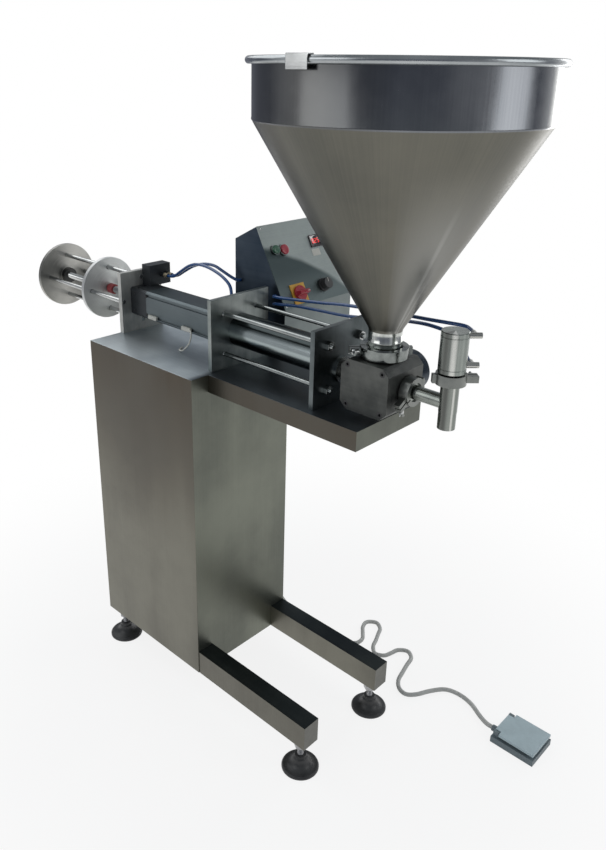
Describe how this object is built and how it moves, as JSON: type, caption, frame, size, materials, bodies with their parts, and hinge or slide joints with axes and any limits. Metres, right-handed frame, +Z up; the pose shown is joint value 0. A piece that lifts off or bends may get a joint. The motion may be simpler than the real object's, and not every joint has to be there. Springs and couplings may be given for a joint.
{
  "type": "piston filling machine",
  "caption": "Pneumatic piston filler for liquids and creams with hopper, rotary valve, shut-off nozzle, control console and foot switch on a stainless stand.",
  "frame": {"origin": "on the floor, under the middle of the machine with its foot switch", "axes": "+X along the pistons towards the nozzle, +Y towards the control console, +Z up"},
  "size_m": [1.574, 0.7295, 1.6485],
  "materials": {
    "brushed_stainless": "brushed",
    "satin_stainless": "satin",
    "dark_stainless": "matte machined",
    "turned_stainless": "turned in rings",
    "polished_stainless": "polished",
    "hopper_stainless": "satin, spun",
    "console_stainless": "brushed",
    "hard_chrome": "ground and chromed",
    "anodised_aluminium": "satin anodised",
    "dark_anodised": "dark anodised",
    "black_steel": "blackened",
    "brass": "turned",
    "nickel_brass": "nickel plated",
    "black_plastic": "moulded",
    "black_rubber": "smooth",
    "red_rubber": "smooth",
    "white_plastic": "moulded",
    "white_silicone": "smooth",
    "blue_hose": "smooth",
    "display_black": "smoked",
    "red_plastic": "moulded",
    "green_plastic": "moulded",
    "yellow_plastic": "moulded",
    "grey_plastic": "moulded",
    "pale_blue_plastic": "moulded",
    "grey_cord": "smooth"
  },
  "bodies": {
    "machine": {"base_frame": "brushed_stainless", "cabinet_shell": "brushed_stainless", "rear_cover": "brushed_stainless", "air_inlet_port": "brass", "tray": "brushed_stainless", "rear_plate": "satin_stainless", "cylinder_caps": "dark_anodised", "air_barrel": "anodised_aluminium", "barrel_rear_plate": "satin_stainless", "barrel_front_plate": "satin_stainless", "product_barrel": "polished_stainless", "tie_rods": "polished_stainless", "tie_rod_nuts": "polished_stainless", "cage_rods": "polished_stainless", "end_disc": "turned_stainless", "rear_air_valve": "dark_anodised", "reed_sensor": "white_plastic", "air_hoses": "blue_hose", "valve_body": "dark_stainless", "valve_cover": "dark_stainless", "cover_screws": "black_steel", "valve_actuator": "dark_anodised", "hopper_shell": "hopper_stainless", "rim_clip": "polished_stainless", "hopper_clamp": "polished_stainless", "clamp_gaskets": "white_silicone", "outlet_tee": "satin_stainless", "pipe_clamps": "satin_stainless", "nozzle_cylinder": "satin_stainless", "nozzle_fittings": "nickel_brass", "console_bracket": "brushed_stainless", "console_shell": "console_stainless", "console_panel": "console_stainless", "display": "display_black", "main_switch_plate": "yellow_plastic", "solenoid_valves": "anodised_aluminium", "cord_gland": "black_plastic", "foot_switch_base": "grey_plastic", "foot_switch_cord": "grey_cord"},
    "piston": {"piston_rod": "hard_chrome", "air_piston": "anodised_aluminium", "product_piston": "polished_stainless", "piston_seals": "black_rubber", "rod_bumper": "red_rubber"},
    "stop": {"stop_disc": "turned_stainless"},
    "spindle": {"stop_spindle": "polished_stainless"},
    "rotor": {"valve_rotor": "polished_stainless"},
    "plunger": {"nozzle_plunger": "polished_stainless"},
    "hopper_nut": {"hopper_wing_nut": "polished_stainless"},
    "outlet_nut": {"outlet_wing_nut": "polished_stainless"},
    "nozzle_nut": {"nozzle_wing_nut": "satin_stainless"},
    "red_push": {"red_button": "red_plastic"},
    "green_push": {"green_button": "green_plastic"},
    "main_switch": {"main_switch_knob": "red_plastic"},
    "timer": {"timer_knob": "black_plastic"},
    "pedal": {"foot_pedal": "pale_blue_plastic"},
    "front_right_foot": {"foot_front_right": "black_plastic"},
    "front_left_foot": {"foot_front_left": "black_plastic"},
    "rear_right_foot": {"foot_rear_right": "black_plastic"},
    "rear_left_foot": {"foot_rear_left": "black_plastic"}
  },
  "joints": [
    {"name": "piston_stroke", "type": "slide", "parent": "machine", "child": "piston", "axis": [1, 0, 0], "range_m": [0, 0.108]},
    {"name": "spindle_turn", "type": "hinge", "parent": "machine", "child": "spindle", "pos_m": [-0.775, -0.039, 1.033], "axis": [-1, 0, 0], "range_deg": [0, 6480]},
    {"name": "stop_slide", "type": "slide", "parent": "machine", "child": "stop", "axis": [-1, 0, 0], "range_m": [0, 0.18]},
    {"name": "valve_turn", "type": "hinge", "parent": "machine", "child": "rotor", "pos_m": [0.439, -0.036, 1.017], "axis": [0, 1, 0], "range_deg": [-90, 0]},
    {"name": "plunger_lift", "type": "slide", "parent": "machine", "child": "plunger", "axis": [0, 0, 1], "range_m": [0, 0.014]},
    {"name": "hopper_nut_turn", "type": "hinge", "parent": "machine", "child": "hopper_nut", "pos_m": [0.40379, -0.09543, 1.087], "axis": [0.7071, -0.7071, 0], "continuous": true},
    {"name": "outlet_nut_turn", "type": "hinge", "parent": "machine", "child": "outlet_nut", "pos_m": [0.513, -0.07008, 0.98174], "axis": [0, 0.5, -0.866], "continuous": true},
    {"name": "nozzle_nut_turn", "type": "hinge", "parent": "machine", "child": "nozzle_nut", "pos_m": [0.62089, 0.00311, 1.07], "axis": [-0.7071, 0.7071, 0], "continuous": true},
    {"name": "red_button_press", "type": "slide", "parent": "machine", "child": "red_push", "axis": [-0.8829, 0, -0.4695], "range_m": [0, 0.003], "stiffness_N_per_m": 300, "springref_m": -0.003},
    {"name": "green_button_press", "type": "slide", "parent": "machine", "child": "green_push", "axis": [-0.8829, 0, -0.4695], "range_m": [0, 0.003], "stiffness_N_per_m": 300, "springref_m": -0.003},
    {"name": "main_switch_turn", "type": "hinge", "parent": "machine", "child": "main_switch", "pos_m": [0.04384, 0.138, 1.09579], "axis": [0.8829, 0, 0.4695], "range_deg": [-90, 0]},
    {"name": "timer_turn", "type": "hinge", "parent": "machine", "child": "timer", "pos_m": [0.04103, 0.235, 1.10109], "axis": [0.8829, 0, 0.4695], "range_deg": [-135, 135]},
    {"name": "pedal_press", "type": "hinge", "parent": "machine", "child": "pedal", "pos_m": [0.679, 0.277, 0.026], "axis": [0, 1, 0], "range_deg": [0, 4], "stiffness_Nm_per_rad": 3, "springref_deg": -8.59},
    {"name": "front_right_foot_turn", "type": "hinge", "parent": "machine", "child": "front_right_foot", "pos_m": [0.369, -0.179, 0.06], "axis": [0, 0, 1], "continuous": true},
    {"name": "front_left_foot_turn", "type": "hinge", "parent": "machine", "child": "front_left_foot", "pos_m": [0.369, 0.101, 0.06], "axis": [0, 0, 1], "continuous": true},
    {"name": "rear_right_foot_turn", "type": "hinge", "parent": "machine", "child": "rear_right_foot", "pos_m": [-0.351, -0.179, 0.06], "axis": [0, 0, 1], "continuous": true},
    {"name": "rear_left_foot_turn", "type": "hinge", "parent": "machine", "child": "rear_left_foot", "pos_m": [-0.351, 0.101, 0.06], "axis": [0, 0, 1], "continuous": true}
  ],
  "couplings": [
    {"joint": "stop_slide", "follows": "spindle_turn", "m_per_rad": 0.0015915}
  ]
}
